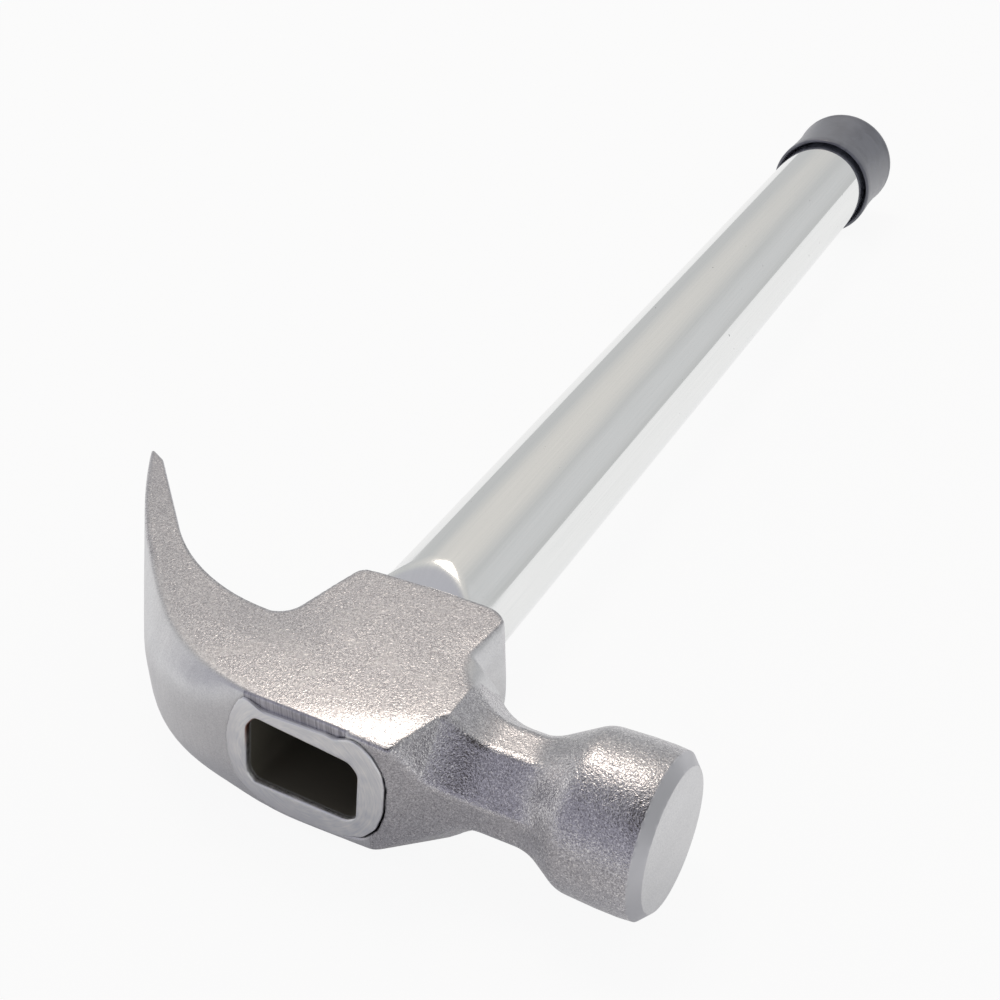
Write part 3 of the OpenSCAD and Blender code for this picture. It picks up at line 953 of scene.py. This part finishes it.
def tube_rings():
    """Rings of the tube, up its bore, over the rim and down its outside. With
    them each point's finish, 0 for the dark bore, 1 for the ground rim, 2 for
    chrome, its rust, and how far the rim is ground into the head's back."""
    turns = np.linspace(0, 2 * math.pi, AROUND, endpoint=False)
    cos, sin = np.cos(turns), np.sin(turns)
    rim = round_loop(RIM, turns, RIM_SOFT) + OVERLAP - (CRACK + OVERLAP) * way(cos, *POLL_SIDE)
    hole = round_loop(HOLE, turns, HOLE_SOFT)
    bore = np.full(AROUND, BORE_R)
    eye_end = squeezed(turns, SQUEEZED)
    claw_side = way(cos, *CLAW_SIDE)

    def ring(radius, y):
        return np.stack([radius * cos, y + 0 * radius, radius * sin], axis=1)

    def face_ring(share, moved, sunk):
        radius = hole * (1 - share) + rim * share + moved
        proud = RIM_PROUD - (RIM_PROUD - RIM_FLUSH) * claw_side * share ** 2
        return ring(radius, on_crown(radius * cos, radius * sin) - proud + sunk)

    inner = [ring(bore, y) for y in (TUBE_END, 200, 120, 60, BORE_START)]
    for share in (0.8, 0.5, 0.2, 0):
        y = HOLE_END + (BORE_START - HOLE_END) * share
        inner.append(ring(hole * (1 - share) + bore * share, y))
    inner += [ring(hole, y) for y in (12, 0, -8, -12, -13.4, -13.9)]
    face = [face_ring(*at) for at in FACE_RINGS]
    outer = []
    for y in (-13, -9, 0, 10, 20, SKIRT_END - 0.5):
        down = (y - CROWN[1]) / (SKIRT_END - CROWN[1])
        outer.append(ring(rim * (1 - down) + eye_end * down, y))
    for y in np.concatenate([np.arange(SKIRT_END, 36, 0.25), np.arange(38, TUBE_END, 6), [TUBE_END]]):
        half_t = SQUEEZED + FLATS_RISE * max(y - FLATS_END, 0)
        outer.append(ring(squeezed(turns, half_t), y))

    finishes = np.repeat([0, 1, 2], [len(inner), len(face), len(outer)])
    rust = np.zeros((len(finishes), AROUND))
    rust[len(inner) - 1:len(inner) + 2] = np.clip(2 * sin, 0, 1)
    worn_in = np.zeros((len(finishes), AROUND))
    outwards = way(np.arange(len(face)), WORN_RING, len(face) - 1)
    worn_in[len(inner):len(inner) + len(face)] = outwards[:, None] * claw_side
    return inner + face + outer, np.repeat(finishes, AROUND), rust.ravel(), worn_in.ravel()


def loft(rings):
    """Points and four-sided faces through rings of points. Each ring is closed,
    and the last one leads back to the first."""
    around = len(rings[0])
    here = np.arange(around)
    following = (here + 1) % around
    faces = []
    for i in range(len(rings)):
        a, b = i * around, ((i + 1) % len(rings)) * around
        faces.append(np.stack([a + here, b + here, b + following, a + following], axis=1))
    return np.concatenate(rings), np.concatenate(faces)


# The tube's colours, from dark to bright where there are two: its chrome and
# the specks in it, the rim's ground steel, the same where it is ground into the
# head's back, its rust, and the bore's scale, painted near-black also as the
# shade deep in the hole.
CHROME = ((0.855, 0.865, 0.86, 1), (0.895, 0.90, 0.895, 1))
SPECKS = (0.45, 0.45, 0.46, 1)
RUBBED = ((0.74, 0.76, 0.80, 1), (1.0, 0.99, 0.97, 1))
WORN_IN = (0.78, 0.78, 0.80, 1)
RUST = (0.26, 0.12, 0.08, 1)
SCALE_AND_SHADE = (0.14, 0.13, 0.10, 1)
# Turns about the axis are laid out flat at this radius. Between two places
# along the tube, all in metres, the chrome turns from bright to satin.
FLAT_OUT_R = 0.013
SATIN_FROM, SATIN_TO = 0.040, 0.031


def chromed_tube():
    """Mirror chrome with faint drawn lines, the rim's ground steel in the eye,
    and a dark oxide-scaled bore, painted near-black also as the hole's shade."""
    material, tree, chrome = new_material("chromed tube")
    place, x, y, z = piece_axes(tree)
    finish = read_values(tree, "finish")
    is_rim = joined(tree, "MINIMUM", spread(tree, finish, 0.4, 0.6), spread(tree, finish, 1.2, 1.4, 1, 0))
    is_bore = spread(tree, finish, 0.1, 0.5, 1, 0)
    z = joined(tree, "SUBTRACT", z, CHEEK * MM)
    squares = [joined(tree, "MULTIPLY", side, side) for side in (x, z)]
    reach = joined(tree, "SQRT", joined(tree, "ADD", *squares))
    turn = joined(tree, "ABSOLUTE", joined(tree, "ARCTAN2", z, x))
    around = joined(tree, "MULTIPLY", turn, FLAT_OUT_R)
    drawn = place_group(tree, strokes, Across=around, Along=y, Width=0.0004, Stretch=60)
    swirl = place_group(tree, strokes, Across=reach, Along=around, Width=0.0004, Stretch=8)
    specks = spread(tree, grain_of(tree, 1.1, 0, place), 0.87, 0.9)

    plated = blend_of(tree, "RGBA", spread(tree, drawn["Shade"], 0.3, 0.7), *CHROME)
    plated = blend_of(tree, "RGBA", specks, plated, SPECKS)
    rubbed = joined(tree, "ADD", spread(tree, swirl["Shade"], 0.3, 0.7, -0.35, 0.35), swirl["Patches"])
    rim = blend_of(tree, "RGBA", rubbed, *RUBBED)
    rim = blend_of(tree, "RGBA", read_values(tree, "worn in"), rim, WORN_IN)
    rim = blend_of(tree, "RGBA", read_values(tree, "rust"), rim, RUST)
    surface = blend_of(tree, "RGBA", is_rim, plated, rim)

    plated_rough = joined(tree, "ADD", spread(tree, drawn["Shade"], 0.2, 0.8, 0.05, 0.09), specks)
    plated_rough = joined(tree, "ADD", plated_rough, spread(tree, y, SATIN_FROM, SATIN_TO, 0, 0.12))
    rim_rough = spread(tree, swirl["Shade"], 0.3, 0.7, 0.30, 0.50)
    rough = blend_of(tree, "FLOAT", is_rim, plated_rough, rim_rough)
    # The bore is painted near-black: partly its oxide scale, partly painted shade deep in the hole.
    feed(tree, chrome, {
        "Metallic": spread(tree, is_bore, 0, 1, 1, 0.3),
        "Base Color": blend_of(tree, "RGBA", is_bore, surface, SCALE_AND_SHADE),
        "Roughness": blend_of(tree, "FLOAT", is_bore, rough, 0.7),
    })
    height = joined(tree, "MULTIPLY", swirl["Shade"], is_rim)
    finish_bump(tree, chrome, height, strength=0.4, depth_mm=0.03)
    return material


rings, finishes, rust, worn_in = tube_rings()
points, faces = loft(rings)
tube = new_piece("handle_tube_chromed", points, faces, chromed_tube())
for value_name, values in (("finish", finishes), ("rust", rust), ("worn in", worn_in)):
    add_values(tube, value_name, values)
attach(tube, "root")
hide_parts("handle_tube")

# End cap. Moulded dark rubber, pushed over the tube's end: it swells a little
# at its lip and at its closed end, and its mouth is bevelled inside.
CAP_MOUTH = 250.4
CAP_END = 274
CAP_FLOOR = 270.4
CAP_LIP = (13.5, CAP_MOUTH + 0.4)
CAP_BEVEL = 3
CAP_WAIST_R = 13.95
CAP_SWELL = 0.45
CAP_WALL_START = CAP_MOUTH + 0.6
CAP_WALL = 20.8
CAP_WALL_STEPS = 12
CAP_ROUND = (3.0, 3.1)
CAP_FLAT_R = 6
CAP_AROUND = 160
CAP_ROWS = 160
MERGE = 0.002
RUBBER = ((0.095, 0.10, 0.13, 1), (0.175, 0.185, 0.225, 1))


def cap_profile():
    """The cap's section from its floor inside, out of its mouth and round its
    end, as distances from the axis and down the handle."""
    profile = [(0, CAP_FLOOR), (TUBE_R, CAP_FLOOR), (TUBE_R, CAP_MOUTH + CAP_BEVEL), CAP_LIP]
    profile += bend(CAP_LIP, heading=-75, radius=0.25, turn=75, steps=4)
    profile += bend(profile[-1], heading=0, radius=0.5, turn=80, steps=8)
    for i in range(1, CAP_WALL_STEPS):
        s = i / CAP_WALL_STEPS
        profile.append((CAP_WAIST_R + CAP_SWELL * (2 * s - 1) ** 2, CAP_WALL_START + s * CAP_WALL))
    round_r, round_h = CAP_ROUND
    edge = (CAP_WAIST_R + CAP_SWELL, CAP_END - round_h)
    profile += [edge] + bend(edge, heading=90, radius=round_r, turn=84, steps=10)
    return profile + [(CAP_FLAT_R, CAP_END), (0, CAP_END)]


def turned_tree():
    """Geometry nodes that turn a profile curve, X from the axis and Y along it,
    into a round shell: each point of a grid is looked up on the profile by its
    row, and turned about the axis by its column."""
    tree = bpy.data.node_groups.new("turned shell", "GeometryNodeTree")
    kinds = {"Profile": "Geometry", "Rows": "Int", "Columns": "Int", "Skin": "Material"}
    inputs = {name: tree.interface.new_socket(name, in_out="INPUT", socket_type="NodeSocket" + kind)
              for name, kind in kinds.items()}
    tree.interface.new_socket("Shell", in_out="OUTPUT", socket_type="NodeSocketGeometry")
    entry, leave = new_node(tree, "NodeGroupInput").outputs, new_node(tree, "NodeGroupOutput")
    grid = new_node(tree, "GeometryNodeMeshGrid")
    feed(tree, grid, {"Vertices X": entry["Columns"], "Vertices Y": entry["Rows"]})
    parts = new_node(tree, "ShaderNodeSeparateXYZ")
    feed(tree, parts, {0: new_node(tree, "GeometryNodeInputPosition").outputs[0]})
    row = joined(tree, "ADD", parts.outputs["Y"], 0.5)
    turn = joined(tree, "MULTIPLY", parts.outputs["X"], 2 * math.pi)
    found = new_node(tree, "GeometryNodeSampleCurve", mode="FACTOR", use_all_curves=True)
    feed(tree, found, {"Curves": entry["Profile"], "Factor": row})
    on_profile = new_node(tree, "ShaderNodeSeparateXYZ")
    feed(tree, on_profile, {0: found.outputs["Position"]})
    turned = new_node(tree, "ShaderNodeCombineXYZ")
    feed(tree, turned, {
        "X": joined(tree, "MULTIPLY", joined(tree, "COSINE", turn), on_profile.outputs["X"]),
        "Y": on_profile.outputs["Y"],
        "Z": joined(tree, "MULTIPLY", joined(tree, "SINE", turn), on_profile.outputs["X"]),
    })
    steps = (
        ("GeometryNodeSetPosition", {"Position": turned.outputs[0]}),
        ("GeometryNodeMergeByDistance", {"Distance": MERGE * MM}),
        ("GeometryNodeSetShadeSmooth", {}),
        ("GeometryNodeRealizeInstances", {}),
        ("GeometryNodeSetMaterial", {"Material": entry["Skin"]}),
    )
    shape = grid.outputs["Mesh"]
    for kind, values in steps:
        step = new_node(tree, kind)
        feed(tree, step, {"Geometry": shape, **values})
        shape = step.outputs[0]
    feed(tree, leave, {0: shape})
    return tree, inputs


def turned_piece(name, profile, rows, around, material):
    """A mesh turned from a profile in millimetres by the geometry nodes above."""
    curve = bpy.data.curves.new(name + "_profile", "CURVE")
    curve.dimensions = "3D"
    spline = curve.splines.new("POLY")
    spline.points.add(len(profile) - 1)
    for point, (x, y) in zip(spline.points, profile):
        point.co = (x * MM, y * MM, 0, 1)
    former = bpy.data.objects.new(name + "_profile", curve)
    scene.collection.objects.link(former)
    turning = former.modifiers.new("turning", "NODES")
    tree, inputs = turned_tree()
    turning.node_group = tree
    for input_name, value in (("Rows", rows), ("Columns", around + 1), ("Skin", material)):
        turning[inputs[input_name].identifier] = value
    evaluated = former.evaluated_get(bpy.context.evaluated_depsgraph_get())
    mesh = bpy.data.meshes.new_from_object(evaluated)
    former.modifiers.remove(turning)
    bpy.data.objects.remove(former)
    mesh.transform(Matrix.Translation((0, 0, CHEEK * MM)))
    shell = bmesh.new()
    shell.from_mesh(mesh)
    bmesh.ops.recalc_face_normals(shell, faces=shell.faces)
    shell.to_mesh(mesh)
    shell.free()
    piece = bpy.data.objects.new(name, mesh)
    scene.collection.objects.link(piece)
    return piece


def dark_rubber():
    """Satin rubber, dark blue-grey and clouded, with a fine moulded grain."""
    material, tree, rubber = new_material("dark rubber")
    place = piece_axes(tree)[0]
    cloudy = grain_of(tree, 6, 3, place)
    feed(tree, rubber, {
        "Base Color": blend_of(tree, "RGBA", spread(tree, cloudy, 0.3, 0.7), *RUBBER),
        "Roughness": spread(tree, cloudy, 0.3, 0.7, 0.30, 0.44),
        "Specular IOR Level": 0.9,
        "Coat Weight": 0.3,
        "Coat Roughness": 0.3,
    })
    finish_bump(tree, rubber, grain_of(tree, 0.4, 2, place), strength=0.3, depth_mm=0.03)
    return material


cap = turned_piece("end_cap_rubber", cap_profile(), CAP_ROWS, CAP_AROUND, dark_rubber())
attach(cap, "root")
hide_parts("end_cap")
